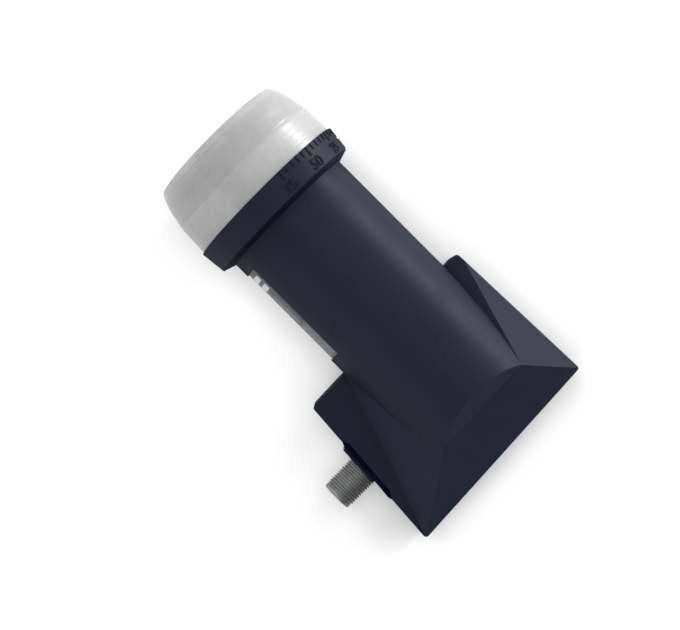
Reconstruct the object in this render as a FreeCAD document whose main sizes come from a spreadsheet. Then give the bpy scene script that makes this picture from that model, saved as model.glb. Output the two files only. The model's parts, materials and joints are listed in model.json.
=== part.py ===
import FreeCAD, Part
import math
import os
import Sketcher
from FreeCAD import Vector, Placement, Rotation

# Low-noise block for a dish aerial: a horn and waveguide casting with its
# converter board, in a two-shell moulded casing with a 40 mm clamping neck.
# Frame: +X runs rearward along the neck's axis, +Y away from the cable
# connector, +Z up out of the roof of the casing. Millimetres. The origin is
# on the neck's axis, halfway along the stretch that the clamp holds.

os.makedirs("parts", exist_ok=True)
doc = FreeCAD.newDocument("lnb")

# ---------------------------------------------------------------- dimensions
sheet = doc.addObject("Spreadsheet::Sheet", "dims")
sheet.Label = "dims"

DIMS = [
    # casing, neck and ring
    ("neck_rad", 20.0), ("neck_bore", 18.0), ("ring_front", 29.05),
    ("ring_rear", 21.95), ("neck_start", 20.76), ("ring_rad", 24.45),
    ("ring_rad_rear", 23.65), ("ring_bore", 21.6), ("ring_bore_depth", 5.0),
    ("part_high", 0.0), ("part_low", -4.5), ("casing_back", 24.45),
    ("wall", 2.0), ("box_round", 1.0),
    # plan corners of the box: front left, front right, rear right, rear left
    ("plan_fl_x", 21.63), ("plan_fl_y", -32.76), ("plan_fr_x", 19.59), ("plan_fr_y", 24.87),
    ("plan_rr_x", 66.10), ("plan_rr_y", 26.97), ("plan_rl_x", 69.51), ("plan_rl_y", -36.30),
    # roof: height of the front wall, slope of the rear facet, where its ridge
    # meets the neck on the right and the left, and where the neck's top ends
    ("roof_front", 1.9), ("rear_slope", 1.24), ("ridge_right", 15.5),
    ("ridge_left", -14.6), ("ridge_proud", 0.03), ("neck_end", 48.7),
    ("sliver_start", 2.4),
    # feed cap
    ("cap_front", 50.55), ("cap_rad", 23.85), ("cap_wall", 1.3),
    ("cap_step_at", 37.76), ("cap_spigot_rad", 21.45), ("cap_spigot_bore", 20.1),
    ("cap_spigot_end", 24.6), ("cap_web", 1.4),
    ("seal_mid", 21.1), ("seal_thick", 0.5), ("seal_at", 27.4), ("seal_groove", 1.3),
    # casting
    ("horn_mouth", 45.8), ("horn_rad", 19.0), ("guide_rad", 8.75),
    ("tube_rad", 12.0), ("guide_end", 49.0), ("tube_end", 50.8),
    ("flange_front", 20.0), ("flange_rear", 17.8),
    ("tray_front", 32.0), ("tray_rear", 59.5), ("tray_left", 29.0),
    ("tray_right", 17.0), ("tray_wall", 1.8), ("tray_plate_top", 9.0),
    ("board_top", 12.0), ("board_thick", 0.8), ("tray_rim", 19.0),
    ("probe_front", 38.0), ("probe_cross", 45.0), ("probe_cross_y", 14.0),
    # board chamber cover and its screws
    ("cover_thick", 1.2), ("cover_rib", 1.2),
    ("cover_row_front", 35.6), ("cover_row_rear", 55.9),
    ("cover_row_a", -25.4), ("cover_row_b", -6.0), ("cover_row_c", 13.4),
    # connector
    ("conn_x", 44.3), ("conn_low", 13.25), ("thread_rad", 4.68),
    ("conn_end", 46.2), ("thread_start", 36.0), ("shank_rad", 4.2),
    ("conn_flange_rad", 6.2), ("conn_flange_out", 31.2),
    ("conn_core_rad", 3.3), ("contact_rad", 0.45), ("contact_end", 44.8),
    ("contact_tail", 24.0),
    # collar and plate on the connector wall
    ("collar_top", 3.0), ("collar_bottom", 20.3), ("collar_hole", 4.3),
    ("collar_left", 35.8), ("collar_right", 53.2),
    ("plate_top", 7.3), ("plate_bottom", 19.2),
    # fasteners, and the places of the shell screws
    ("screw_rad", 1.2), ("screw_head", 2.2), ("post_rad", 3.6), ("post_split", -14.0),
    ("post_a_x", 27.6), ("post_a_y", -28.6), ("post_b_x", 26.2), ("post_b_y", 20.6),
    ("post_c_x", 63.2), ("post_c_y", -30.2), ("post_d_x", 61.6), ("post_d_y", 21.4),
    ("cover_screw_rad", 0.95), ("cover_screw_head", 1.75),
    # label on the neck, in a recess
    ("label_front", -16.2), ("label_rear", 15.9), ("label_half_deg", 29.4),
    ("label_rad", 19.45), ("label_thick", 0.15), ("label_gap", 0.15),
]
for row, (alias, value) in enumerate(DIMS, start=1):
    sheet.set("A%d" % row, alias)
    sheet.set("B%d" % row, repr(float(value)))
    sheet.setAlias("B%d" % row, alias)
doc.recompute()


class Q(object):
    """A length with its value and the sheet expression that gives it."""

    def __init__(self, v, e=None):
        self.v = float(v)
        self.e = e if e is not None else repr(float(v))

    def __add__(self, o):
        o = q(o)
        return Q(self.v + o.v, "(%s + %s)" % (self.e, o.e))

    def __radd__(self, o):
        return q(o) + self

    def __sub__(self, o):
        o = q(o)
        return Q(self.v - o.v, "(%s - %s)" % (self.e, o.e))

    def __rsub__(self, o):
        return q(o) - self

    def __mul__(self, o):
        o = q(o)
        return Q(self.v * o.v, "(%s * %s)" % (self.e, o.e))

    def __rmul__(self, o):
        return q(o) * self

    def __neg__(self):
        return Q(-self.v, "(-(%s))" % self.e)


def q(x):
    return x if isinstance(x, Q) else Q(x)


D = {}
for alias, value in DIMS:
    D[alias] = Q(value, "dims.%s" % alias)


def val(alias):
    return float(sheet.get(alias))


# ------------------------------------------------------------------- helpers
def plane_of(body, role):
    for f in body.Origin.OriginFeatures:
        if f.Role == role:
            return f
    raise RuntimeError(role)


def new_body(label):
    b = doc.addObject("PartDesign::Body", label)
    b.Label = label
    return b


def attach(sk, body, role, offset):
    sk.AttachmentSupport = [(plane_of(body, role), "")]
    sk.MapMode = "FlatFace"
    if offset is not None:
        sk.AttachmentOffset = Placement(Vector(0, 0, q(offset).v), Rotation())
        sk.setExpression("AttachmentOffset.Base.z", q(offset).e)


def pin_point(sk, geo, pos, x, y):
    """Hold one point of the sketch at x, y, both from the sheet."""
    x, y = q(x), q(y)
    for ax, c in (("X", x), ("Y", y)):
        if abs(c.v) < 1e-9:
            line = -2 if ax == "X" else -1
            sk.addConstraint(Sketcher.Constraint("PointOnObject", geo, pos, line))
            continue
        if c.v > 0:
            n = sk.addConstraint(Sketcher.Constraint("Distance" + ax, -1, 1, geo, pos, c.v))
            e = c.e
        else:
            n = sk.addConstraint(Sketcher.Constraint("Distance" + ax, geo, pos, -1, 1, -c.v))
            e = (-c).e
        if "dims." in e:
            sk.setExpression("Constraints[%d]" % n, e)


def poly(body, name, role, loops, offset=None):
    """A sketch of closed polygons; each corner is held from the sheet."""
    sk = body.newObject("Sketcher::SketchObject", name)
    attach(sk, body, role, offset)
    for pts in loops:
        first = sk.GeometryCount
        n = len(pts)
        P = [Vector(q(x).v, q(y).v, 0) for x, y in pts]
        for i in range(n):
            sk.addGeometry(Part.LineSegment(P[i], P[(i + 1) % n]), False)
        for i in range(n):
            sk.addConstraint(Sketcher.Constraint("Coincident", first + i, 2, first + (i + 1) % n, 1))
        for i in range(n):
            pin_point(sk, first + i, 1, pts[i][0], pts[i][1])
    doc.recompute()
    return sk


def circles(body, name, role, specs, offset=None):
    """A sketch of circles (x, y, radius); each is held from the sheet."""
    sk = body.newObject("Sketcher::SketchObject", name)
    attach(sk, body, role, offset)
    for x, y, r in specs:
        g = sk.addGeometry(Part.Circle(Vector(q(x).v, q(y).v, 0), Vector(0, 0, 1), q(r).v), False)
        n = sk.addConstraint(Sketcher.Constraint("Radius", g, q(r).v))
        if "dims." in q(r).e:
            sk.setExpression("Constraints[%d]" % n, q(r).e)
        pin_point(sk, g, 3, x, y)
    doc.recompute()
    return sk


def feature(body, kind, name, sk, length=None, **props):
    f = body.newObject("PartDesign::" + kind, name)
    f.Profile = sk
    if length is not None:
        f.Length = q(length).v
        if "dims." in q(length).e:
            f.setExpression("Length", q(length).e)
    for k, v in props.items():
        setattr(f, k, v)
    doc.recompute()
    return f


def revolve(body, name, sk, kind="Revolution"):
    f = body.newObject("PartDesign::" + kind, name)
    f.Profile = sk
    f.ReferenceAxis = (sk, ["H_Axis"])
    f.Angle = 360.0
    doc.recompute()
    return f


def smaller(body, before, what):
    after = body.Shape.Volume
    if not after < before - 1e-6:
        raise RuntimeError("%s removed nothing" % what)
    return after


def bind(obj, **kv):
    for k, v in kv.items():
        v = q(v)
        if k in ("x", "y", "z"):
            prop = "Placement.Base." + k
            base = obj.Placement.Base
            setattr(base, k, v.v)
            obj.Placement = Placement(base, obj.Placement.Rotation)
        else:
            prop = k
            setattr(obj, k, v.v)
        if "dims." in v.e:
            obj.setExpression(prop, v.e)


def box(name, x0, x1, y0, y1, z0, z1):
    b = doc.addObject("Part::Box", name)
    x0, x1, y0, y1, z0, z1 = [q(t) for t in (x0, x1, y0, y1, z0, z1)]
    bind(b, Length=x1 - x0, Width=y1 - y0, Height=z1 - z0, x=x0, y=y0, z=z0)
    return b


def cyl(name, r, h, x, y, z, axis="Z"):
    """A cylinder from x, y, z along +axis, or along -Y for axis '-Y'."""
    c = doc.addObject("Part::Cylinder", name)
    rot = {"Z": Rotation(), "-Z": Rotation(Vector(1, 0, 0), 180),
           "X": Rotation(Vector(0, 1, 0), 90),
           "Y": Rotation(Vector(1, 0, 0), -90), "-Y": Rotation(Vector(1, 0, 0), 90)}[axis]
    c.Placement = Placement(Vector(), rot)
    bind(c, Radius=r, Height=h, x=x, y=y, z=z)
    return c


def fuse(name, items):
    f = doc.addObject("Part::MultiFuse", name)
    f.Shapes = items
    f.Refine = True
    return f


def cut(name, base, tool):
    f = doc.addObject("Part::Cut", name)
    f.Base = base
    f.Tool = tool
    f.Refine = True
    return f


def common(name, items):
    f = doc.addObject("Part::MultiCommon", name)
    f.Shapes = items
    f.Refine = True
    return f


def group(name, items):
    """Separate identical solids that share one node."""
    c = doc.addObject("Part::Compound", name)
    c.Links = items
    return c


# ------------------------------------------------------- casing: outer planes
# The front and rear walls and the connector side wall stand a few degrees off
# square. A plane is held as its unit normal, outward, and its distance.
PLAN = {}
for k in ("fl", "fr", "rr", "rl"):
    PLAN[k] = (val("plan_%s_x" % k), val("plan_%s_y" % k))


def wall_plane(a, b, d):
    """The upright wall from corner a to corner b, moved inward by d."""
    (ax, ay), (bx, by) = PLAN[a], PLAN[b]
    n = Vector(by - ay, ax - bx, 0)
    n.normalize()
    return n, n.x * ax + n.y * ay - d


def plane_by(a, b, c):
    """The plane through three points, its normal upward."""
    n = (b - a).cross(c - a)
    n.normalize()
    if n.z < 0:
        n = n * -1.0
    return n, n.dot(a)


def inward(plane, d):
    return plane[0], plane[1] - d


def meet(p, r, s):
    """The point that three planes share."""
    (n1, k1), (n2, k2), (n3, k3) = p, r, s
    den = n1.dot(n2.cross(n3))
    return (n2.cross(n3) * k1 + n3.cross(n1) * k2 + n1.cross(n2) * k3) * (1.0 / den)


def on_wall(a, b, t, z):
    """A point t mm along the wall from corner a towards b, at height z."""
    (ax, ay), (bx, by) = PLAN[a], PLAN[b]
    n = math.hypot(bx - ax, by - ay)
    return Vector(ax + (bx - ax) * t / n, ay + (by - ay) * t / n, z)


ZF, ZL, RN = val("roof_front"), val("part_low"), val("neck_rad")
FL = Vector(PLAN["fl"][0], PLAN["fl"][1], ZF)
FR = Vector(PLAN["fr"][0], PLAN["fr"][1], ZF)
RR = Vector(PLAN["rr"][0], PLAN["rr"][1], ZL)
RL = Vector(PLAN["rl"][0], PLAN["rl"][1], ZL)
back_out = wall_plane("rl", "rr", 0.0)[0]
REAR = plane_by(RR, RL, RR - back_out * 10.0 + Vector(0, 0, 10.0 * val("rear_slope")))


def on_neck(y):
    """Where the rear facet meets the neck's surface, at this y."""
    z = math.sqrt((RN + val("ridge_proud")) ** 2 - y * y)
    n, k = REAR
    return Vector((k - n.y * y - n.z * z) / n.x, y, z)


# ridge ends: C on the right, G on the left; A is where the neck's left side
# meets the front wall's top edge
RIDGE_C, RIDGE_G = on_neck(val("ridge_right")), on_neck(val("ridge_left"))
ya = -math.sqrt(RN * RN - ZF * ZF)
wall_n, wall_k = wall_plane("fr", "fl", 0.0)
FOLD_A = Vector((wall_k - wall_n.y * ya) / wall_n.x, ya, ZF)
RAMP = plane_by(FOLD_A, FR, RIDGE_C)
SLIVER_B = on_wall("fr", "rr", val("sliver_start"), 0.0)
SLIVER_B.z = (RAMP[1] - RAMP[0].x * SLIVER_B.x - RAMP[0].y * SLIVER_B.y) / RAMP[0].z
WING_RIGHT = plane_by(SLIVER_B, RR, RIDGE_C)
WING_LEFT = plane_by(FOLD_A, RL, RIDGE_G)
SHELF_LEFT = plane_by(FOLD_A, FL, RL)
UNDER = plane_by(FOLD_A, RIDGE_C, RIDGE_G)
BAND = plane_by(RIDGE_C, RIDGE_G, Vector(val("neck_end"), 0, RN))


def solid_from(faces):
    """A solid from flat faces: roof faces look up, the others away from the middle."""
    every = [p for up, pts in faces for p in pts]
    mid = Vector()
    for p in every:
        mid = mid + p
    mid = mid * (1.0 / len(every))
    fs = []
    for up, pts in faces:
        P = list(pts)
        n = Vector()
        for i in range(len(P)):
            n = n + (P[i] - P[0]).cross(P[(i + 1) % len(P)] - P[0])
        if (n.z if up else n.dot(P[0] - mid)) < 0:
            P.reverse()
        fs.append(Part.Face(Part.makePolygon(P + [P[0]])))
    shell = Part.Shell(fs)
    shell.sewShape()
    s = Part.Solid(shell)
    if s.Volume < 0:
        s.reverse()
    if not s.isValid():
        raise RuntimeError("roof block not valid")
    return s


def facet_block(d):
    """The box with its faceted roof, all its faces moved inward by d."""
    front, left = wall_plane("fr", "fl", d), wall_plane("fl", "rl", d)
    rear, right = wall_plane("rl", "rr", d), wall_plane("rr", "fr", d)
    floor = (Vector(0, 0, -1), val("casing_back") - d)
    low = {"fl": meet(front, left, floor), "fr": meet(front, right, floor),
           "rr": meet(rear, right, floor), "rl": meet(rear, left, floor)}
    if d == 0:
        fl, fr, rr, rl, a, b, c, g = FL, FR, RR, RL, FOLD_A, SLIVER_B, RIDGE_C, RIDGE_G
    else:
        fl = meet(front, left, inward(SHELF_LEFT, d))
        fr = meet(front, right, inward(RAMP, d))
        a = meet(front, inward(WING_LEFT, d), inward(SHELF_LEFT, d))
        b = meet(right, inward(RAMP, d), inward(WING_RIGHT, d))
        c = meet(inward(RAMP, d), inward(WING_RIGHT, d), inward(REAR, d))
        g = meet(inward(WING_LEFT, d), inward(REAR, d), inward(UNDER, d))
        rr = meet(right, rear, inward(WING_RIGHT, d))
        rl = meet(left, rear, inward(WING_LEFT, d))
        rr.z = min(rr.z, meet(right, rear, inward(REAR, d)).z)
        rl.z = min(rl.z, meet(left, rear, inward(REAR, d)).z)
    faces = [
        (False, (low["fl"], low["rl"], low["rr"], low["fr"])),
        (False, (low["fl"], low["fr"], fr, a, fl)), (False, (low["rl"], rl, rr, low["rr"])),
        (False, (low["fl"], fl, rl, low["rl"])), (False, (low["fr"], low["rr"], rr, b, fr)),
        (True, (a, fl, rl)), (True, (a, rl, g)), (True, (a, g, c)), (True, (b, c, rr)),
    ]
    if d == 0:
        faces += [(True, (a, c, b, fr)), (True, (rr, rl, g, c))]
    else:
        faces += [(True, (a, c, fr)), (True, (c, b, fr)), (True, (rr, rl, g)), (True, (rr, g, c))]
    return solid_from(faces)


def half_space(plane):
    """A big block whose top face lies in the plane."""
    n, k = plane
    u = Vector(0, 1, 0).cross(n)
    u.normalize()
    v = n.cross(u)
    top = [n * k + u * i + v * j for i, j in ((-200.0, -200.0), (200.0, -200.0), (200.0, 200.0), (-200.0, 200.0))]
    low = [p - n * 200.0 for p in top]
    faces = [(False, top), (False, low)]
    for i in range(4):
        j = (i + 1) % 4
        faces.append((False, (top[i], top[j], low[j], low[i])))
    return solid_from(faces)


def feature_shape(name, shape):
    f = doc.addObject("Part::Feature", name)
    f.Shape = shape
    f.Placement = Placement()
    return f


block_out = feature_shape("roof_block", facet_block(0.0))
block_in = feature_shape("roof_hollow", facet_block(val("wall")))
rear_out = feature_shape("rear_limit", half_space(REAR).fuse(half_space(BAND)))
rear_in = feature_shape("rear_limit_inner", half_space(inward(REAR, val("wall"))))

# neck and ring, turned about the axis
turned = new_body("casing_turned")
sk = poly(turned, "casing_profile", "XY_Plane", [[
    (-D["ring_front"], 0), (-D["ring_front"], D["ring_rad"]),
    (-D["ring_rear"], D["ring_rad_rear"]), (-D["neck_start"], D["neck_rad"]),
    (110.0, D["neck_rad"]), (110.0, 0)]])
revolve(turned, "casing_revolve", sk)

hollow = new_body("casing_bore")
sk = poly(hollow, "bore_profile", "XY_Plane", [[
    (-40.0, 0), (-40.0, D["ring_bore"]),
    (D["ring_bore_depth"] - D["ring_front"], D["ring_bore"]),
    (D["ring_bore_depth"] - D["ring_front"], D["neck_bore"]),
    (62.0, D["neck_bore"]), (62.0, 0)]])
revolve(hollow, "bore_revolve", sk)

neck_cut = cut("neck_limited", common("neck_under_roof", [turned, rear_out]),
               box("beyond", 62.0, 120.0, -40.0, 40.0, -40.0, 40.0))
doc.recompute()


def edge_names(shape, test):
    out = []
    for i, e in enumerate(shape.Edges, start=1):
        if test(e):
            out.append(i)
    return out


# the box's upright corners are rounded
box_plan = new_body("box_plan")
sk = poly(box_plan, "box_plan_sketch", "XY_Plane", [[
    (D["plan_%s_x" % k], D["plan_%s_y" % k]) for k in ("fl", "rl", "rr", "fr")]], offset=-D["casing_back"])
feature(box_plan, "Pad", "box_plan_pad", sk, D["casing_back"] + 30.0)
box_corners = doc.addObject("Part::Fillet", "box_corners")
box_corners.Base = box_plan
ids = edge_names(box_plan.Shape, lambda e: e.BoundBox.ZLength > 40 and e.BoundBox.XLength < 0.01 and e.BoundBox.YLength < 0.01)
box_corners.Edges = [(i, val("box_round"), val("box_round")) for i in ids]
doc.recompute()
box_rounded = common("roof_block_rounded", [block_out, box_corners])
outer = fuse("casing_outer", [neck_cut, box_rounded])
neck_hollow = common("neck_hollow", [hollow, rear_in])
inner = fuse("casing_inner", [neck_hollow, block_in])
walls = cut("casing_walls", outer, inner)
doc.recompute()

# The two shells part level with the neck's axis, and a step lower round the
# box, where the walls leave the roof.
LOW = D["part_low"]
near_tool = fuse("near_side", [
    box("near_front", -60.0, 90.0, -60.0, 60.0, D["part_high"], 40.0),
    box("near_rear", 18.0, 90.0, -60.0, 60.0, LOW, 10.0)])
doc.recompute()

# screw posts at the corners of the box
POSTS = [(D["post_%s_x" % k], D["post_%s_y" % k]) for k in "abcd"]
SPLIT = D["post_split"]
posts = []
for i, (px, py) in enumerate(POSTS):
    posts.append(cyl("post_up_%d" % i, D["post_rad"] - 0.6, 30.0, px, py, SPLIT))
near_posts = common("near_posts", [fuse("near_posts_long", posts), fuse("inside_near", [block_in, neck_hollow])])
pilots = fuse("pilots", [cyl("pilot_%d" % i, D["screw_rad"] - 0.15, 5.5, px, py, SPLIT)
                         for i, (px, py) in enumerate(POSTS)])
near_raw = common("near_raw", [walls, near_tool])
near_whole = fuse("near_whole", [near_raw, near_posts])
near_drilled = cut("near_drilled", near_whole, pilots)

back_raw = cut("back_raw", walls, near_tool)
back_posts = fuse("back_posts", [cyl("post_low_%d" % i, D["post_rad"], SPLIT + 22.5, px, py, -22.5)
                                 for i, (px, py) in enumerate(POSTS)] +
                  [cyl("pad_%d" % i, 1.6, 2.3, px, py, -22.5)
                   for i, (px, py) in enumerate([(36.0, -20.0), (36.0, 6.0), (55.5, -20.0), (55.5, 6.0)])])
back_posts_in = common("back_posts_in", [back_posts, block_in])
back_whole = fuse("back_whole", [back_raw, back_posts_in])
back_holes = fuse("back_holes", [cyl("clear_%d" % i, D["screw_rad"] + 0.2, 12.0, px, py, -25.0)
                                 for i, (px, py) in enumerate(POSTS)] +
                  [cyl("sink_%d" % i, D["screw_head"] + 0.2, 4.5, px, py, -25.0)
                   for i, (px, py) in enumerate(POSTS)])
back_drilled = cut("back_drilled", back_whole, back_holes)

# The collar stands in a recess of the box's side, up to the roof's edge, and
# its inner part fills a window of the back shell.
COLLAR_OUT = [(33.83, -33.62), (35.72, -34.41), (50.42, -35.26), (53.83, -35.62), (55.05, -35.32),
              (54.12, -34.48), (53.05, -33.99), (35.62, -32.56)]
window = new_body("collar_window")
sk = poly(window, "window_plan", "XY_Plane", [[
    (D["collar_left"], -40.0), (D["collar_right"], -40.0), (D["collar_right"], -30.0), (D["collar_left"], -30.0)]],
    offset=-D["collar_bottom"])
feature(window, "Pad", "window_pad", sk, D["collar_bottom"] + LOW)
notch = new_body("roof_notch")
sk = poly(notch, "notch_plan", "XY_Plane", [COLLAR_OUT[:1] + [(35.0, -38.0), (54.5, -38.0)] + COLLAR_OUT[4:]],
          offset=-D["collar_bottom"])
feature(notch, "Pad", "notch_pad", sk, D["collar_bottom"] + 12.0)

# recess for the label, the same on both shells
def sector(name, x0, x1, half_deg):
    """A long wedge round -Y from the axis out, between x0 and x1."""
    half = math.radians(half_deg)
    w = new_body(name)
    sk = poly(w, name + "_profile", "YZ_Plane", [[
        (0, 0), (-30.0 * math.cos(half), 30.0 * math.sin(half)), (-30.0, 0.0),
        (-30.0 * math.cos(half), -30.0 * math.sin(half))]], offset=x0)
    feature(w, "Pad", name + "_pad", sk, x1 - x0)
    return w


def tube(name, r0, r1, x0, x1):
    return cut(name, cyl(name + "_out", r1, x1 - x0, x0, 0, 0, "X"), cyl(name + "_in", r0, x1 - x0, x0, 0, 0, "X"))


L0, L1, LG = D["label_front"], D["label_rear"], D["label_gap"]
label_shape = common("label_band", [
    tube("label_tube", D["label_rad"] - D["label_thick"], D["label_rad"], L0, L1),
    sector("label_sector", L0, L1, val("label_half_deg"))])
recess = common("label_recess", [
    tube("recess_tube", D["label_rad"] - D["label_thick"], D["neck_rad"] + 1.0, L0 - LG, L1 + LG),
    sector("recess_sector", L0 - LG, L1 + LG, val("label_half_deg") + math.degrees(val("label_gap") / val("label_rad")))])
doc.recompute()

near_shell = cut("near_shell", cut("near_notched", near_drilled, notch), recess)
back_shell = cut("back_shell", cut("back_windowed", back_drilled, fuse("back_openings", [window, notch])), recess)
label = common("rating_label", [label_shape])
label.Shapes = [label_shape, doc.getObject("label_tube_out")]
doc.recompute()

shell_screws = group("shell_screws", [
    fuse("shell_screw_%d" % i, [
        cyl("shell_head_%d" % i, D["screw_head"], 1.8, px, py, -22.3),
        cyl("shell_shank_%d" % i, D["screw_rad"] - 0.15, 11.8, px, py, -20.6)])
    for i, (px, py) in enumerate(POSTS)])

# ------------------------------------------------------------------ feed cap
feed_cap = new_body("feed_cap")
w = D["cap_wall"]
sk = poly(feed_cap, "cap_profile", "XY_Plane", [[
    (-D["cap_front"], 0), (-50.35, 4.0), (-49.85, 8.5), (-49.35, 13.0), (-49.0, 16.5), (-48.8, 18.5), (-48.62, 19.8),
    (-48.4, 20.4), (-48.0, 20.72), (-47.45, 20.98), (-46.5, 21.4), (-45.5, 21.78), (-44.5, 22.15), (-42.5, 22.65),
    (-40.5, 22.97), (-38.5, 23.4), (-D["cap_step_at"], 23.46), (-D["cap_step_at"] + 0.22, 23.6),
    (-33.6, 23.75), (-D["ring_front"], D["cap_rad"]),
    (-D["ring_front"], D["cap_spigot_rad"]),
    (-D["seal_at"] - 0.5 * D["seal_groove"], D["cap_spigot_rad"]),
    (-D["seal_at"] - 0.5 * D["seal_groove"], D["seal_mid"] - D["seal_thick"]),
    (-D["seal_at"] + 0.5 * D["seal_groove"], D["seal_mid"] - D["seal_thick"]),
    (-D["seal_at"] + 0.5 * D["seal_groove"], D["cap_spigot_rad"]),
    (-D["cap_spigot_end"], D["cap_spigot_rad"]), (-D["cap_spigot_end"], D["cap_spigot_bore"]),
    (-D["ring_front"] - D["cap_web"], D["cap_spigot_bore"]), (-D["ring_front"] - D["cap_web"], D["cap_rad"] - w),
    (-37.5, 22.2), (-40.4, 21.65), (-42.4, 21.32), (-44.3, 20.85), (-46.0, 20.2), (-46.9, 19.6),
    (-47.3, 18.9), (-47.6, 16.5), (-48.05, 13.0), (-48.55, 8.5), (-49.05, 4.0), (-D["cap_front"] + w, 0)]])
revolve(feed_cap, "cap_revolve", sk)

cap_seal = doc.addObject("Part::Torus", "cap_seal")
cap_seal.Placement = Placement(Vector(), Rotation(Vector(0, 1, 0), 90))
bind(cap_seal, Radius1=D["seal_mid"], Radius2=D["seal_thick"], x=-D["seal_at"])

# ------------------------------------------------------------------- casting
chassis = new_body("horn_casting")
hm = D["horn_mouth"]
sk = poly(chassis, "casting_profile", "XY_Plane", [[
    (-hm, 18.1), (-hm, D["horn_rad"]), (-36.5, D["horn_rad"]), (-26.0, D["tube_rad"]),
    (-D["flange_front"], D["tube_rad"]), (-D["flange_front"], D["neck_bore"]),
    (-D["flange_rear"], D["neck_bore"]), (-D["flange_rear"], D["tube_rad"]),
    (D["tube_end"], D["tube_rad"]), (D["tube_end"], 0), (D["guide_end"], 0),
    (D["guide_end"], D["guide_rad"]), (-27.0, D["guide_rad"]), (-39.5, 13.2), (-39.5, 13.9),
    (-hm + 1.0, 13.9), (-hm + 1.0, 14.9), (-40.5, 14.9), (-40.5, 16.4), (-hm, 16.4), (-hm, 17.2),
    (-41.5, 17.2), (-41.5, 18.1)]])
revolve(chassis, "casting_revolve", sk)

TF, TR, TL, TG = D["tray_front"], D["tray_rear"], D["tray_left"], D["tray_right"]
tw = D["tray_wall"]
sk = poly(chassis, "tray_plan", "XY_Plane", [[(TF, -TL), (TR, -TL), (TR, TG), (TF, TG)]],
          offset=-D["board_top"])
# the tray's plate carries the tube, whose bore stays clear below it
feature(chassis, "Pad", "tray_plate", sk, D["board_top"] - D["tray_plate_top"])
sk = poly(chassis, "rim_plan", "XY_Plane", [
    [(TF, -TL), (TR, -TL), (TR, TG), (TF, TG)],
    [(TF + tw, -TL + tw), (TR - tw, -TL + tw), (TR - tw, TG - tw), (TF + tw, TG - tw)]],
    offset=-D["tray_rim"])
feature(chassis, "Pad", "tray_rim_pad", sk, D["tray_rim"] - D["board_top"])
vol = chassis.Shape.Volume
# the guide's bore, cleared again through the tray's plate
sk = circles(chassis, "guide_circle", "YZ_Plane", [(0, 0, D["guide_rad"])], offset=20.0)
feature(chassis, "Pocket", "guide_clear", sk, D["guide_end"] - 20.0, Reversed=True)
doc.recompute()
# holes for the two probes' sleeves
PV, PH, PY = D["probe_front"], D["probe_cross"], D["probe_cross_y"]
sk = circles(chassis, "probe_holes", "XY_Plane", [(PV, 0, 1.2), (PH, PY, 1.2)], offset=-20.0)
f = feature(chassis, "Pocket", "probe_holes_cut", sk, 20.0 - 8.0, Reversed=True)
vol = smaller(chassis, vol, "probe holes")
# side hole of the crosswise probe, and the pin that parts the two
sk = circles(chassis, "side_hole", "XZ_Plane", [(PH, 0, 1.2)], offset=-7.0)
f = feature(chassis, "Pocket", "side_hole_cut", sk, 9.0, Reversed=False)
vol = smaller(chassis, vol, "side hole")
sk = circles(chassis, "pin_hole", "XZ_Plane", [(41.5, 0, 0.6)], offset=-13.0)
f = feature(chassis, "Pocket", "pin_hole_cut", sk, 26.0, Reversed=True)
vol = smaller(chassis, vol, "pin hole")
# connector hole in the tray's rim, and pilot holes of the cover's screws
sk = circles(chassis, "conn_hole", "XZ_Plane", [(D["conn_x"], -D["conn_low"], 4.0)], offset=26.0)
f = feature(chassis, "Pocket", "conn_hole_cut", sk, 4.0, Reversed=True)
vol = smaller(chassis, vol, "connector hole")
COVER_SCREWS = [(D["cover_row_" + u], D["cover_row_" + v]) for v in "abc" for u in ("front", "rear")]
sk = circles(chassis, "cover_pilots", "XY_Plane", [(x, y, D["cover_screw_rad"]) for x, y in COVER_SCREWS],
             offset=-D["board_top"])
f = feature(chassis, "Pocket", "cover_pilots_cut", sk, 2.2, Reversed=True)
vol = smaller(chassis, vol, "cover pilots")

# ----------------------------------------------------------------- the board
main_board = new_body("main_board")
g = 0.2
sk = poly(main_board, "board_plan", "XY_Plane", [[
    (TF + tw + g, -TL + tw + g), (TR - tw - g, -TL + tw + g), (TR - tw - g, TG - tw - g), (TF + tw + g, TG - tw - g)]],
    offset=-(D["board_top"] + D["board_thick"]))
feature(main_board, "Pad", "board_pad", sk, D["board_thick"])
vol = main_board.Shape.Volume
sk = circles(main_board, "board_holes", "XY_Plane",
             [(x, y, 1.1) for x, y in COVER_SCREWS] + [(PV, 0, 0.42), (PH, PY, 0.42)],
             offset=-(D["board_top"] + D["board_thick"]))
feature(main_board, "Pocket", "board_holes_cut", sk, D["board_thick"] + 1.0, Reversed=True)
vol = smaller(main_board, vol, "board holes")

# probes, sleeves and the pin between them
BZ = -(D["board_top"] + D["board_thick"])
vertical_probe = cyl("vertical_probe", 0.4, 9.4, PV, 0, BZ - 0.3)
bent = new_body("crosswise_probe")
path = bent.newObject("Sketcher::SketchObject", "probe_path")
attach(path, bent, "YZ_Plane", PH)
path.addGeometry(Part.LineSegment(Vector(14.0, BZ.v - 0.3, 0), Vector(14.0, -1.5, 0)), False)
path.addGeometry(Part.Arc(Vector(14.0, -1.5, 0), Vector(14.0 - 1.5 + 1.5 * math.cos(math.pi / 4), -1.5 + 1.5 * math.sin(math.pi / 4), 0),
                          Vector(12.5, 0, 0)), False)
path.addGeometry(Part.LineSegment(Vector(12.5, 0, 0), Vector(4.2, 0, 0)), False)
path.addConstraint(Sketcher.Constraint("Coincident", 0, 2, 1, 1))
path.addConstraint(Sketcher.Constraint("Coincident", 1, 2, 2, 1))
sec = bent.newObject("Sketcher::SketchObject", "probe_section")
attach(sec, bent, "XY_Plane", BZ - 0.3)
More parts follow.
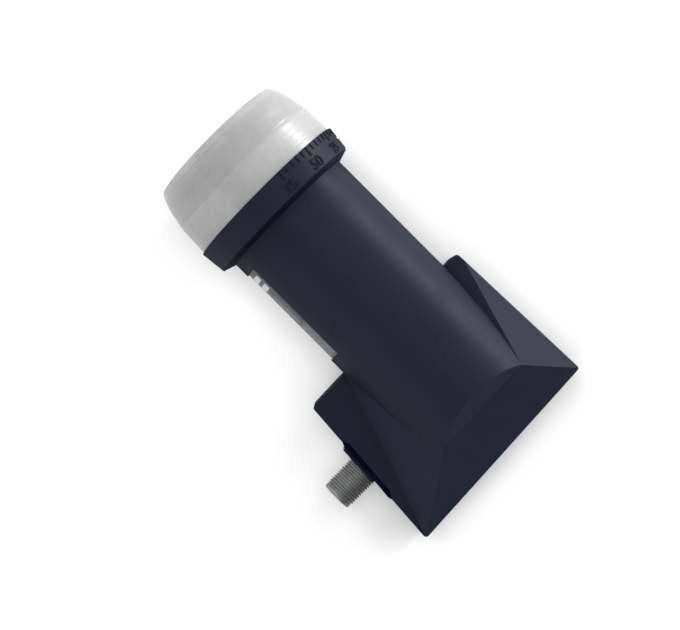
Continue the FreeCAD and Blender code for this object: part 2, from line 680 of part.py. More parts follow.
sec.addGeometry(Part.Circle(Vector(PH.v, PY.v, 0), Vector(0, 0, 1), 0.4), False)
doc.recompute()
pipe = bent.newObject("PartDesign::AdditivePipe", "probe_pipe")
pipe.Profile = sec
pipe.Spine = (path, ["Edge1", "Edge2", "Edge3"])
doc.recompute()


def sleeve(name, x, y, z, h, axis, r_in):
    return cut(name, cyl(name + "_out", 1.2, h, x, y, z, axis), cyl(name + "_in", r_in, h, x, y, z, axis))


# each sleeve fills its hole in the casting round its probe
sleeve_v = common("sleeve_v", [sleeve("sleeve_v_tube", PV, 0, -12.0, 3.2, "Z", 0.4),
                               cut("not_bore", box("around", 30, 50, -20, 20, -14, 5),
                                   cyl("bore_core", D["guide_rad"], 40.0, 20.0, 0, 0, "X"))])
sleeve_h = sleeve("sleeve_h", PH, 9.0, 0, 2.9, "Y", 0.4)
probe_sleeves = group("probe_sleeves", [sleeve_v, sleeve_h])
isolation_pin = cyl("isolation_pin", 0.6, 23.8, 41.5, -11.9, 0, "Y")

# ------------------------------------------------------------ chamber cover
shield_cover = new_body("shield_cover")
CT = D["tray_rim"] + D["cover_thick"]
sk = poly(shield_cover, "cover_plan", "XY_Plane", [[(TF, -TL), (TR, -TL), (TR, TG), (TF, TG)]], offset=-CT)
feature(shield_cover, "Pad", "cover_pad", sk, D["cover_thick"])
rib = D["cover_rib"]
ribs = [
    [(TF + tw + 0.3, -14.0), (TR - tw - 0.3, -14.0), (TR - tw - 0.3, -14.0 + rib), (TF + tw + 0.3, -14.0 + rib)],
]
sk = poly(shield_cover, "rib_plan", "XY_Plane", ribs, offset=-D["tray_rim"])
feature(shield_cover, "Pad", "rib_pad", sk, D["tray_rim"] - (D["board_top"] + D["board_thick"]))
sk = poly(shield_cover, "rib_plan_b", "XY_Plane", [
    [(TF + tw + 0.3, 3.0), (TR - tw - 0.3, 3.0), (TR - tw - 0.3, 3.0 + rib), (TF + tw + 0.3, 3.0 + rib)]],
    offset=-D["tray_rim"])
feature(shield_cover, "Pad", "rib_pad_b", sk, D["tray_rim"] - (D["board_top"] + D["board_thick"]))
sk = circles(shield_cover, "cover_posts", "XY_Plane", [(x, y, 1.75) for x, y in COVER_SCREWS], offset=-D["tray_rim"] - 0.01)
feature(shield_cover, "Pad", "cover_posts_pad", sk, D["tray_rim"] + 0.01 - (D["board_top"] + D["board_thick"]))
vol = shield_cover.Shape.Volume
sk = circles(shield_cover, "cover_holes", "XY_Plane", [(x, y, 1.1) for x, y in COVER_SCREWS], offset=-CT - 0.5)
feature(shield_cover, "Pocket", "cover_holes_cut", sk, 12.0, Reversed=True)
vol = smaller(shield_cover, vol, "cover holes")
shield_screws = group("shield_screws", [
    fuse("shield_screw_%d" % i, [
        cyl("shield_head_%d" % i, D["cover_screw_head"], 1.3, x, y, -CT - 1.3),
        cyl("shield_shank_%d" % i, D["cover_screw_rad"], 10.2, x, y, -CT - 0.1)])
    for i, (x, y) in enumerate(COVER_SCREWS)])

# --------------------------------------------------------------- connector
CX, CZ = D["conn_x"], -D["conn_low"]
barrel = new_body("connector_barrel")
sk = poly(barrel, "barrel_profile", "XY_Plane", [[
    (-D["conn_end"] , D["conn_core_rad"]), (-D["conn_end"], D["thread_rad"] - 0.35), (-D["conn_end"] + 0.35, D["thread_rad"]),
    (-D["thread_start"], D["thread_rad"]), (-D["thread_start"], D["shank_rad"]),
    (-D["conn_flange_out"], D["shank_rad"]), (-D["conn_flange_out"], D["conn_flange_rad"]),
    (-TL, D["conn_flange_rad"]), (-TL, 4.0), (-TL + tw, 4.0), (-TL + tw, D["conn_core_rad"])]])
revolve(barrel, "barrel_revolve", sk)
insulator = new_body("connector_insulator")
sk = poly(insulator, "insulator_profile", "XY_Plane", [[
    (-D["conn_end"] + 0.8, 0.75), (-D["conn_end"] + 0.8, D["conn_core_rad"]), (-TL + tw, D["conn_core_rad"]),
    (-TL + tw, D["contact_rad"]), (-D["contact_end"] + 6.0, D["contact_rad"]), (-D["contact_end"] + 6.0, 1.0),
    (-D["contact_end"], 1.0), (-D["contact_end"], 0.75)]])
revolve(insulator, "insulator_revolve", sk)
contact = new_body("connector_contact")
sk = poly(contact, "contact_profile", "XY_Plane", [[
    (-D["contact_end"], 0.5), (-D["contact_end"], 1.0), (-D["contact_end"] + 6.0, 1.0),
    (-D["contact_end"] + 6.0, D["contact_rad"]), (-D["contact_tail"], D["contact_rad"]), (-D["contact_tail"], 0),
    (-D["contact_end"] + 5.4, 0), (-D["contact_end"] + 5.4, 0.5)]])
revolve(contact, "contact_revolve", sk)
# the connector is drawn along X and turned to lie along Y at its place
for b in (barrel, insulator, contact):
    b.Placement = Placement(Vector(CX.v, 0, CZ.v), Rotation(Vector(0, 0, 1), 90))
    b.setExpression("Placement.Base.x", CX.e)
    b.setExpression("Placement.Base.z", CZ.e)

collar_body = new_body("collar_flange")
sk = poly(collar_body, "collar_plan", "XY_Plane", [COLLAR_OUT], offset=-D["collar_bottom"])
feature(collar_body, "Pad", "collar_pad", sk, D["collar_bottom"] - D["collar_top"])
collar_core = box("collar_core", D["collar_left"], D["collar_right"], -33.8, -D["conn_flange_out"], -D["collar_bottom"], LOW)
collar_hole = cyl("collar_hole_tool", D["collar_hole"], 14.0, CX, -28.0, CZ, "-Y")
collar = cut("connector_collar", fuse("collar_whole", [collar_body, collar_core]), collar_hole)

plate_body = new_body("plate_body")
sk = poly(plate_body, "plate_plan", "XY_Plane", [[
    (36.2, -34.4378), (36.2, -35.3), (36.5, -35.42), (47.6, -36.0), (48.4, -35.75), (48.4, -35.1432)]],
    offset=-D["plate_bottom"])
feature(plate_body, "Pad", "plate_pad", sk, D["plate_bottom"] - D["plate_top"])
plate = cut("connector_plate", plate_body, cyl("plate_hole_tool", D["shank_rad"] + 0.1, 14.0, CX, -28.0, CZ, "-Y"))
doc.recompute()

# ------------------------------------------------ what the board carries
def chip(name, x, y, lx, ly, lz):
    return box(name, x - lx / 2.0, x + lx / 2.0, y - ly / 2.0, y + ly / 2.0, BZ - lz, BZ)


low_noise = group("low_noise_transistors", [
    chip("transistor_0", 40.6, -2.6, 1.3, 1.3, 0.7), chip("transistor_1", 45.0, 10.6, 1.3, 1.3, 0.7),
    chip("transistor_2", 43.2, -6.0, 1.3, 1.3, 0.7)])
mixer = chip("mixer_chip", 48.0, -8.5, 5.0, 5.0, 0.9)
crystal = chip("reference_crystal", 41.6, -10.0, 3.2, 2.5, 0.8)
regulator = new_body("voltage_regulator")
sk = poly(regulator, "regulator_plan", "XY_Plane", [[
    (38.2, -22.6), (44.7, -22.6), (44.7, -19.1), (42.9, -19.1), (42.9, -17.3), (40.0, -17.3), (40.0, -19.1), (38.2, -19.1)]],
    offset=BZ - 1.6)
feature(regulator, "Pad", "regulator_pad", sk, 1.6)
capacitor = cyl("storage_capacitor", 2.5, 5.2, 51.0, -18.6, BZ, "-Z")
chips = []
for i, (x, y) in enumerate([(37.9, -3.2), (42.6, -3.4), (46.4, -3.2), (50.2, -3.6), (41.0, 7.4), (48.4, 8.6), (40.4, 11.8),
                            (50.2, 12.4), (38.0, -8.0), (52.6, -8.6), (47.2, -17.6), (46.6, -21.6), (37.4, -16.6), (54.9, -15.6)]):
    chips.append(chip("chip_%d" % i, x, y, 1.2, 0.7, 0.6))
chip_parts = group("chip_parts", chips)
doc.recompute()

# ------------------------------------------------------------- check, write
NODES = {
    "near_shell": near_shell, "back_shell": back_shell, "shell_screws": shell_screws,
    "feed_cap": feed_cap, "cap_seal": cap_seal, "horn_casting": chassis, "main_board": main_board,
    "vertical_probe": vertical_probe, "crosswise_probe": bent, "probe_sleeves": probe_sleeves,
    "isolation_pin": isolation_pin, "shield_cover": shield_cover, "shield_screws": shield_screws,
    "connector_barrel": barrel, "connector_insulator": insulator, "connector_contact": contact,
    "connector_collar": collar, "connector_plate": plate, "low_noise_transistors": low_noise,
    "mixer_chip": mixer, "reference_crystal": crystal, "voltage_regulator": regulator,
    "storage_capacitor": capacitor, "chip_parts": chip_parts, "rating_label": label,
}
doc.recompute()
bad = []
for o in doc.Objects:
    st = [s for s in o.State if s in ("Invalid", "Error")]
    if st:
        bad.append("%s: %s" % (o.Name, ",".join(st)))
for name, o in NODES.items():
    o.Label = name
    if o.Shape.isNull() or not o.Shape.isValid() or o.Shape.Volume <= 0:
        bad.append("%s: shape not valid" % name)
if bad:
    raise RuntimeError("; ".join(bad))
for name, o in NODES.items():
    s = o.Shape
    s.exportStep("parts/%s.step" % name)
    bb = s.BoundBox
    print("%-22s solids %2d volume %9.2f  x %.2f..%.2f y %.2f..%.2f z %.2f..%.2f" % (
        name, len(s.Solids), s.Volume, bb.XMin, bb.XMax, bb.YMin, bb.YMax, bb.ZMin, bb.ZMax))
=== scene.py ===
import bpy
import bmesh
import json
import math
from mathutils import Matrix, Vector


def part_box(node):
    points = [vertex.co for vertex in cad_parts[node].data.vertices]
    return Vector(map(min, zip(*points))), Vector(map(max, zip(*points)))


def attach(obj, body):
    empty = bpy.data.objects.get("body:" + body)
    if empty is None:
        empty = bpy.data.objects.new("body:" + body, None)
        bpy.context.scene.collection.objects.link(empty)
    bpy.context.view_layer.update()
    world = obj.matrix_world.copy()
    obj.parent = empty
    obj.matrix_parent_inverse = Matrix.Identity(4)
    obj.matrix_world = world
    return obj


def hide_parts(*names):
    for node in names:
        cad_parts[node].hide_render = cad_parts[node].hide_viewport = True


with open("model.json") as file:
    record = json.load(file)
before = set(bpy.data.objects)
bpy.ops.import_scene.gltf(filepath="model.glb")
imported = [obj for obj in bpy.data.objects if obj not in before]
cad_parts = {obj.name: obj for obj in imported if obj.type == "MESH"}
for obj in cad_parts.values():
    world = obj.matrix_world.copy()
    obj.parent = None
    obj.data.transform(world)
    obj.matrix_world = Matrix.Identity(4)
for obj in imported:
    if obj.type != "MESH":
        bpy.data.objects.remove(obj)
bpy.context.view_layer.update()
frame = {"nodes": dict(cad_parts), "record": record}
N = frame["nodes"]
MM = 0.001
scene = bpy.context.scene

# ------------------------------------------------------------ camera, stage
# The view looks straight down on the part, with its length running to the
# lower right.
cam_data = bpy.data.cameras.new("view")
cam_data.sensor_fit = "HORIZONTAL"
cam_data.sensor_width = 36.0
cam_data.lens = 108.85
cam_data.clip_start = 0.01
cam_data.clip_end = 20.0
cam = bpy.data.objects.new("view", cam_data)
scene.collection.objects.link(cam)
right = Vector((0.70608, 0.70815, 0.0)).normalized()
up = Vector((-right.y, right.x, 0.0))
M = Matrix.Identity(4)
for i in range(3):
    M[i][0], M[i][1], M[i][2] = right[i], up[i], (0.0, 0.0, 1.0)[i]
M.translation = Vector((9.02, -9.53, 563.0)) * MM
cam.matrix_world = M
scene.camera = cam

lowest = min(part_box(n)[0].z for n in N)
floor_mesh = bpy.data.meshes.new("floor")
S = 0.42
floor_mesh.from_pydata([(-S, -S, 0), (S, -S, 0), (S, S, 0), (-S, S, 0)], [], [(0, 1, 2, 3)])
floor = bpy.data.objects.new("floor", floor_mesh)
floor.location = (0, 0, lowest - 0.0001)
scene.collection.objects.link(floor)


# ---------------------------------------------------------------- materials
def material(name):
    m = bpy.data.materials.new(name)
    m.use_nodes = True
    nt = m.node_tree
    bsdf = nt.nodes["Principled BSDF"]
    return m, nt, bsdf


def link(nt, a, i, b, j):
    nt.links.new(a.outputs[i], b.inputs[j])


def noise(nt, coord, scale, detail=3.0, rough=0.55, size=None):
    n = nt.nodes.new("ShaderNodeTexNoise")
    n.inputs["Scale"].default_value = scale
    n.inputs["Detail"].default_value = detail
    n.inputs["Roughness"].default_value = rough
    if size is not None:
        mp = nt.nodes.new("ShaderNodeMapping")
        mp.inputs["Scale"].default_value = size
        link(nt, coord, "Object", mp, "Vector")
        link(nt, mp, "Vector", n, "Vector")
    else:
        link(nt, coord, "Object", n, "Vector")
    return n


def spread(nt, src, out, lo, hi, a=0.3, b=0.7):
    r = nt.nodes.new("ShaderNodeMapRange")
    r.inputs["From Min"].default_value = a
    r.inputs["From Max"].default_value = b
    r.inputs["To Min"].default_value = lo
    r.inputs["To Max"].default_value = hi
    link(nt, src, out, r, "Value")
    return r


def ramp(nt, src, out, stops):
    r = nt.nodes.new("ShaderNodeValToRGB")
    els = r.color_ramp.elements
    while len(els) < len(stops):
        els.new(0.5)
    for e, (p, c) in zip(els, stops):
        e.position = p
        e.color = (c[0], c[1], c[2], 1.0)
    link(nt, src, out, r, "Fac")
    return r


def times(nt, a, i, b, j):
    """The product of two colours."""
    mx = nt.nodes.new("ShaderNodeMix")
    mx.data_type = "RGBA"
    mx.blend_type = "MULTIPLY"
    mx.inputs["Factor"].default_value = 1.0
    nt.links.new(a.outputs[i], mx.inputs[6])
    nt.links.new(b.outputs[j], mx.inputs[7])
    return mx


def plastic(name, dark, light, rough, grain=900.0, grain_depth=0.02, cloud=45.0, specular=0.5, coat=0.0, rough_var=0.06,
            tint=(1.0, 1.0, 1.0), crevice_shade=0.0, along=None, axis="X", rear=None, walls=0.0):
    """Moulded plastic: faint cloudy colour, a fine spark-eroded grain and uneven gloss.

    crevice_shade is how deep in mm the painted shade in corners and creases reaches, and along gives
    (place in mm, tone) stops for a painted light and shade tone that changes along the axis.
    rear is the colour that the faces sloping to the rear are multiplied by, a painted shade, and
    walls is how much rougher the upright faces are than the flat ones."""
    m, nt, bsdf = material(name)
    tc = nt.nodes.new("ShaderNodeTexCoord")
    big = noise(nt, tc, cloud, 4.0)
    col = ramp(nt, big, "Fac", [(0.3, dark), (0.7, light)])
    out = "Color"
    if crevice_shade > 0.0:
        # painted shade: the colour is darkened and turned bluer in corners and creases, where shade falls
        ao = nt.nodes.new("ShaderNodeAmbientOcclusion")
        ao.samples = 8
        ao.only_local = True
        ao.inputs["Distance"].default_value = crevice_shade * MM
        shade = ramp(nt, ao, "AO", [(0.42, (0.05, 0.09, 0.18)), (0.93, (1.0, 1.0, 1.0))])
        col, out = times(nt, col, out, shade, "Color"), 2
    if rear:
        # painted shade: faces that slope to the rear are made darker and bluer, standing in for the dimmer, cooler
        # light they get
        facing = nt.nodes.new("ShaderNodeSeparateXYZ")
        link(nt, tc, "Normal", facing, "Vector")
        rear_slope_shade = ramp(nt, facing, "X", [(0.35, (1.0, 1.0, 1.0)), (0.60, rear)])
        col, out = times(nt, col, out, rear_slope_shade, "Color"), 2
    if along:
        # painted light and shade: the colour is made lighter or darker in steps along one axis
        sep = nt.nodes.new("ShaderNodeSeparateXYZ")
        link(nt, tc, "Object", sep, "Vector")
        x0, x1 = along[0][0], along[-1][0]
        pos = spread(nt, sep, axis, 0.0, 1.0, x0 * MM, x1 * MM)
        tone = ramp(nt, pos, "Result", [((x - x0) / (x1 - x0), (0.8 * t, 0.8 * t, 0.8 * t)) for x, t in along])
        col, out = times(nt, col, out, tone, "Color"), 2
    link(nt, col, out, bsdf, "Base Color")
    bsdf.inputs["Specular Tint"].default_value = (tint[0], tint[1], tint[2], 1.0)
    gl = noise(nt, tc, cloud * 3.1, 5.0, 0.6)
    rr = spread(nt, gl, "Fac", rough - rough_var, rough + rough_var)
    if walls > 0.0:
        upright = nt.nodes.new("ShaderNodeSeparateXYZ")
        link(nt, tc, "Normal", upright, "Vector")
        steep = nt.nodes.new("ShaderNodeMath")
        steep.operation = "ABSOLUTE"
        link(nt, upright, "Z", steep, 0)
        more = spread(nt, steep, "Value", walls, 0.0, 0.12, 0.46)
        both = nt.nodes.new("ShaderNodeMath")
        both.operation = "ADD"
        link(nt, rr, "Result", both, 0)
        link(nt, more, "Result", both, 1)
        link(nt, both, "Value", bsdf, "Roughness")
    else:
        link(nt, rr, "Result", bsdf, "Roughness")
    fine = noise(nt, tc, grain, 2.0, 0.5)
    bump = nt.nodes.new("ShaderNodeBump")
    bump.inputs["Strength"].default_value = 0.35
    bump.inputs["Distance"].default_value = grain_depth * MM
    link(nt, fine, "Fac", bump, "Height")
    link(nt, bump, "Normal", bsdf, "Normal")
    bsdf.inputs["Specular IOR Level"].default_value = specular
    bsdf.inputs["Coat Weight"].default_value = coat
    bsdf.inputs["Coat Roughness"].default_value = 0.25
    return m


def metal(name, dark, light, rough, scale=(400.0, 400.0, 60.0), depth=0.006, rough_var=0.08, metallic=1.0):
    m, nt, bsdf = material(name)
    tc = nt.nodes.new("ShaderNodeTexCoord")
    big = noise(nt, tc, 160.0, 4.0)
    col = ramp(nt, big, "Fac", [(0.3, dark), (0.7, light)])
    link(nt, col, "Color", bsdf, "Base Color")
    bsdf.inputs["Metallic"].default_value = metallic
    gl = noise(nt, tc, 1.0, 4.0, 0.6, scale)
    rr = spread(nt, gl, "Fac", rough - rough_var, rough + rough_var)
    link(nt, rr, "Result", bsdf, "Roughness")
    bump = nt.nodes.new("ShaderNodeBump")
    bump.inputs["Strength"].default_value = 0.4
    bump.inputs["Distance"].default_value = depth * MM
    link(nt, gl, "Fac", bump, "Height")
    link(nt, bump, "Normal", bsdf, "Normal")
    return m


mat = {}
# the casing's colour carries painted shade: darker, bluer corners and creases, and darker, bluer faces sloping to the
# rear
mat["casing"] = plastic("casing_plastic", (0.0077, 0.0102, 0.0175), (0.0090, 0.0118, 0.0200), 0.50, grain=1500.0, grain_depth=0.012, specular=0.073, rough_var=0.04, tint=(0.77, 0.83, 1.0), crevice_shade=4.0, rear=(0.30, 0.62, 1.0), walls=0.4)
# painted light and shade along the cap: the shoulder strip and the skirt's front are made lighter, and the dome, the
# band and the edge by the ring darker, standing in for the sheen and darker reflection there
mat["cap"] = plastic("cap_plastic", (0.289, 0.290, 0.289), (0.319, 0.320, 0.319), 0.37, grain=1200.0, grain_depth=0.005, cloud=420.0, specular=0.34, rough_var=0.05,
                     along=[(-51.0, 0.90), (-48.5, 0.95), (-48.0, 1.07), (-46.8, 1.09), (-45.8, 0.97), (-43.5, 0.98), (-37.90, 0.99),
                            (-37.50, 1.11), (-35.5, 1.10), (-32.0, 1.06), (-30.2, 0.97), (-29.0, 0.95)])
# the collar's near-black, almost glossless colour is partly its own dark plastic and partly painted shade for the deep
# recess it sits in
mat["collar"] = plastic("collar_plastic", (0.0003, 0.0015, 0.0066), (0.0005, 0.0021, 0.0088), 0.6, specular=0.02)
mat["plate"] = plastic("plate_plastic", (0.0060, 0.0064, 0.0120), (0.0080, 0.0085, 0.0160), 0.5, specular=0.06)
# painted light and shade on the scale marks: lightened near the top of the ring and darker further round, standing in
# for how the side light falls on the raised marks
mat["marks"] = plastic("mark_plastic", (0.0074, 0.0095, 0.0164), (0.0092, 0.0116, 0.0197), 0.6, specular=0.03,
                       along=[(2.0, 1.25), (7.5, 1.22), (12.0, 0.93), (24.5, 0.93)], axis="Y")
mat["white_plastic"] = plastic("insulator_plastic", (0.70, 0.70, 0.66), (0.80, 0.80, 0.77), 0.35)
mat["rubber"] = plastic("seal_rubber", (0.010, 0.010, 0.010), (0.018, 0.018, 0.018), 0.7)
mat["board"] = plastic("board_resist", (0.010, 0.075, 0.030), (0.016, 0.105, 0.042), 0.3)
mat["chip_black"] = plastic("chip_epoxy", (0.012, 0.012, 0.013), (0.020, 0.020, 0.022), 0.55)
mat["chip_tan"] = plastic("chip_ceramic", (0.25, 0.17, 0.09), (0.33, 0.23, 0.13), 0.5)
mat["casting"] = metal("cast_metal", (0.42, 0.43, 0.44), (0.52, 0.53, 0.54), 0.5, (500.0, 500.0, 500.0), 0.02)
mat["sheet_metal"] = metal("sheet_metal", (0.50, 0.51, 0.52), (0.60, 0.61, 0.62), 0.32, (900.0, 60.0, 900.0))
mat["steel"] = metal("screw_steel", (0.42, 0.43, 0.45), (0.52, 0.53, 0.55), 0.35)
mat["plated_metal"] = metal("nickel_plate", (0.175, 0.177, 0.180), (0.235, 0.237, 0.240), 0.60, (300.0, 2500.0, 300.0), metallic=0.75)
mat["probe"] = metal("gold_flash", (0.60, 0.42, 0.14), (0.70, 0.50, 0.20), 0.3)
mat["capacitor"] = metal("can_metal", (0.45, 0.46, 0.50), (0.55, 0.56, 0.60), 0.3)
mat["label"] = plastic("label_film", (0.054, 0.055, 0.058), (0.068, 0.069, 0.072), 0.45, specular=0.15)
mat["label_pale"] = plastic("label_pale_tone", (0.40, 0.405, 0.41), (0.50, 0.505, 0.51), 0.45, specular=0.15)
mat["label_mid"] = plastic("label_mid_tone", (0.066, 0.067, 0.070), (0.165, 0.167, 0.170), 0.5, specular=0.15, cloud=1500.0)

slot_of = {s["node"]: s["material_slot"] for s in frame["record"]["subparts"]}
for name, o in N.items():
    o.data.materials.clear()
    o.data.materials.append(mat[slot_of[name]])

# floor
m, nt, bsdf = material("floor_paper")
tc = nt.nodes.new("ShaderNodeTexCoord")
nz = noise(nt, tc, 3.0, 2.0)
col = ramp(nt, nz, "Fac", [(0.3, (0.89, 0.89, 0.89)), (0.7, (0.91, 0.91, 0.91))])
link(nt, col, "Color", bsdf, "Base Color")
bsdf.inputs["Roughness"].default_value = 0.9
bsdf.inputs["Specular IOR Level"].default_value = 0.0
floor_mesh.materials.append(m)


# -------------------------------------------------------------------- pieces
def add(name, verts, faces, look, replaces=None, sharp=35.0, smooth=True):
    """A new piece from corner points in millimetres."""
    me = bpy.data.meshes.new(name)
    me.from_pydata([(v[0] * MM, v[1] * MM, v[2] * MM) for v in verts], [], faces)
    bm = bmesh.new()
    bm.from_mesh(me)
    bmesh.ops.remove_doubles(bm, verts=bm.verts, dist=1e-7)
    bmesh.ops.recalc_face_normals(bm, faces=bm.faces)
    bm.to_mesh(me)
    bm.free()
    for p in me.polygons:
        p.use_smooth = smooth
    if smooth:
        me.set_sharp_from_angle(angle=math.radians(sharp))
    o = bpy.data.objects.new(name, me)
    scene.collection.objects.link(o)
    me.materials.append(mat[look])
    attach(o, "root")
    if replaces:
        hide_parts(replaces)
    return o


def curve_through(pts, k):
    """Catmull-Rom points through a list of (x, r), k to each span."""
    out = []
    for i in range(len(pts) - 1):
        p0 = pts[max(i - 1, 0)]
        p1, p2 = pts[i], pts[i + 1]
        p3 = pts[min(i + 2, len(pts) - 1)]
        for j in range(k):
            t = j / k
            out.append(tuple(0.5 * (2 * p1[c] + (p2[c] - p0[c]) * t + (2 * p0[c] - 5 * p1[c] + 4 * p2[c] - p3[c]) * t * t
                                    + (3 * p1[c] - p0[c] - 3 * p2[c] + p3[c]) * t ** 3) for c in (0, 1)))
    out.append(pts[-1])
    return out


def turned(name, profile, n, look, replaces=None, sharp=35.0):
    """A body turned about the neck's axis from a closed profile of (x, r)."""
    verts, rings, faces = [], [], []
    for x, r in profile:
        if r < 1e-6:
            rings.append([len(verts)])
            verts.append((x, 0.0, 0.0))
        else:
            ring = []
            for i in range(n):
                a = 2 * math.pi * i / n
                ring.append(len(verts))
                verts.append((x, r * math.sin(a), r * math.cos(a)))
            rings.append(ring)
    for k in range(len(rings)):
        a, b = rings[k], rings[(k + 1) % len(rings)]
        if len(a) == 1 and len(b) == 1:
            continue
        for i in range(n):
            j = (i + 1) % n
            if len(a) == 1:
                faces.append((a[0], b[i], b[j]))
            elif len(b) == 1:
                faces.append((a[i], a[j], b[0]))
            else:
                faces.append((a[i], a[j], b[j], b[i]))
    return add(name, verts, faces, look, replaces, sharp)


# feed cap: a domed front, a shoulder, a fine step and turned lines by the ring
front = curve_through([(-50.55, 0.0), (-50.35, 4.0), (-49.85, 8.5), (-49.35, 13.0), (-49.0, 16.5), (-48.8, 18.5),
                       (-48.62, 19.8), (-48.4, 20.4), (-48.0, 20.72), (-47.45, 20.98), (-46.52, 21.4)], 4)
side = curve_through([(-46.46, 21.36), (-45.5, 21.78), (-44.5, 22.15), (-42.5, 22.65), (-40.5, 22.97), (-38.7, 23.36),
                      (-38.02, 23.43)], 4)
skirt = [(-37.92, 23.435), (-37.78, 23.45), (-37.55, 23.52), (-37.25, 23.585), (-36.9, 23.62)]
for x in (-35.6, -33.9, -32.3, -30.9):
    r = 23.61 + (x + 37.3) * 0.24 / 8.25
    skirt += [(x - 0.25, r - 0.006), (x - 0.08, r - 0.02), (x + 0.08, r - 0.02), (x + 0.25, r + 0.002)]
skirt += [(-29.3, 23.84), (-29.05, 23.80)]
inside = [(-29.05, 21.45), (-28.05, 21.45), (-28.05, 20.6), (-26.75, 20.6), (-26.75, 21.45), (-24.6, 21.45), (-24.6, 20.1),
          (-30.45, 20.1), (-30.45, 22.55), (-37.5, 22.2), (-40.4, 21.65), (-42.4, 21.32), (-44.3, 20.85), (-46.0, 20.2),
          (-46.9, 19.6), (-47.3, 18.9), (-47.6, 16.5), (-48.05, 13.0), (-48.55, 8.5), (-49.05, 4.0), (-49.25, 0.0)]
cap = turned("feed_cap_moulding", front + side + skirt + inside, 192, "cap", "feed_cap", 12.0)


# scale on the ring: raised marks on its slightly tapered face
def ring_point(deg, x, h):
    r = 24.45 + (x + 29.05) * (23.65 - 24.45) / 7.1 + h
    a = math.radians(deg)
    return (x, r * math.sin(a), r * math.cos(a))


def mark_block(verts, faces, deg, x0, x1, width, h):
    """One raised tick, a little narrower at its top."""
    half = math.degrees(width / 2 / 24.2)
    base = len(verts)
    for hh, s in ((-0.12, 1.0), (h * 0.7, 1.0), (h, 0.7)):
        e = 0.5 * width * (1 - s)
        for d, x in ((-half * s, x0 + e), (half * s, x0 + e), (half * s, x1 - e), (-half * s, x1 - e)):
            verts.append(ring_point(deg + d, x, hh))
    for lay in (0, 4):
        for i in range(4):
            j = (i + 1) % 4
            faces.append((base + lay + i, base + lay + j, base + lay + 4 + j, base + lay + 4 + i))
    faces.append(tuple(base + i for i in (3, 2, 1, 0)))
    faces.append(tuple(base + 8 + i for i in range(4)))


verts, faces = [], []
for k in range(31):                               # a tick every 5 degrees
    length = 2.8 if k % 5 == 0 else 1.8
    mark_block(verts, faces, 13.4 + 5.0 * k, -28.95, -28.95 + length, 0.58, 0.2)
add("scale_ticks", verts, faces, "marks", sharp=20.0)


def numeral(name, word, deg, width):
    """Plain figures, bent round the ring, their tops towards the cap."""
    c = bpy.data.curves.new(name, "FONT")
    c.body = word
    c.size = 1.0
    c.extrude = 0.5
    c.offset = 0.022
    c.resolution_u = 5
    o = bpy.data.objects.new(name + "_flat", c)
    scene.collection.objects.link(o)
    bpy.context.view_layer.update()
    dg = bpy.context.evaluated_depsgraph_get()
    me = bpy.data.meshes.new_from_object(o.evaluated_get(dg))
    bpy.data.objects.remove(o)
    bpy.data.curves.remove(c)
    xs = [v.co.x for v in me.vertices]
    ys = [v.co.y for v in me.vertices]
    sx, sy = width / (max(xs) - min(xs)), 3.2 / (max(ys) - min(ys))
    mx, y0 = 0.5 * (max(xs) + min(xs)), min(ys)
    pts = []
    for v in me.vertices:
        u, t = (v.co.x - mx) * sx, (v.co.y - y0) * sy
        pts.append(ring_point(deg + math.degrees(u / 24.1), -22.35 - t, 0.2 if v.co.z > 0 else -0.12))
    fs = [tuple(p.vertices) for p in me.polygons]
    bpy.data.meshes.remove(me)
    return add(name, pts, fs, "marks", sharp=30.0)


for name, word, deg, width in (("numeral_75", "75", 13.4, 4.2), ("numeral_50", "50", 38.4, 4.2), ("numeral_25", "25", 63.4, 4.2),
                               ("numeral_0", "0", 88.4, 2.0), ("numeral_25_low", "25", 113.4, 4.2), ("numeral_50_low", "50", 138.4, 4.2),
                               ("numeral_75_low", "75", 163.4, 4.2)):
    numeral(name, word, deg, width)


# threaded socket: a right-hand thread of 0.794 mm pitch on a bored barrel
CX, CZ = 0.5 * (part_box("connector_barrel")[0].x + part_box("connector_barrel")[1].x) / MM, -13.25
PITCH, CREST, ROOT = 0.79375, 4.68, 4.19


def thread_radius(u, phi):
    """Radius of the thread u mm out along the barrel at the angle phi."""
    s = (u / PITCH - phi / (2 * math.pi)) % 1.0
    d = abs(s - 0.5) * 2.0                        # 0 in the root, 1 at the crest
    t = min(max((d - 0.16) / 0.64, 0.0), 1.0)
    return ROOT + (CREST - ROOT) * t


def barrel_point(u, r, phi):
    return (CX - r * math.sin(phi), -u, CZ + r * math.cos(phi))


NT = 96
rows = []                                         # (u, radius or None for thread, fade)
for u, r in ((27.2, 3.3), (27.2, 4.0), (29.0, 4.0), (29.0, 6.2), (31.2, 6.2), (31.2, 4.2), (35.4, 4.2)):
    rows.append((u, r, None))
START, STOP = 35.45, 44.85
steps = int((STOP - START) / PITCH * 16)
for i in range(steps + 1):
    u = START + (STOP - START) * i / steps
    fade = min(1.0, (u - START) / 0.6, (STOP - u) / 0.35)
    rows.append((u, None, fade))
for u, r in ((44.9, 4.22), (44.98, 4.34), (45.1, 4.38), (45.9, 4.38), (46.08, 4.32), (46.2, 4.14), (46.2, 3.62), (46.12, 3.4), (45.9, 3.3)):
    rows.append((u, r, None))
verts, faces = [], []
for u, r, fade in rows:
    for i in range(NT):
        phi = 2 * math.pi * i / NT
        rad = r if r is not None else ROOT + (thread_radius(u, phi) - ROOT) * max(fade, 0.0)
        verts.append(barrel_point(u, rad, phi))
for k in range(len(rows)):
    a, b = k * NT, ((k + 1) % len(rows)) * NT
    for i in range(NT):
        j = (i + 1) % NT
        faces.append((a + i, a + j, b + j, b + i))
add("threaded_socket", verts, faces, "plated_metal", "connector_barrel", 40.0)


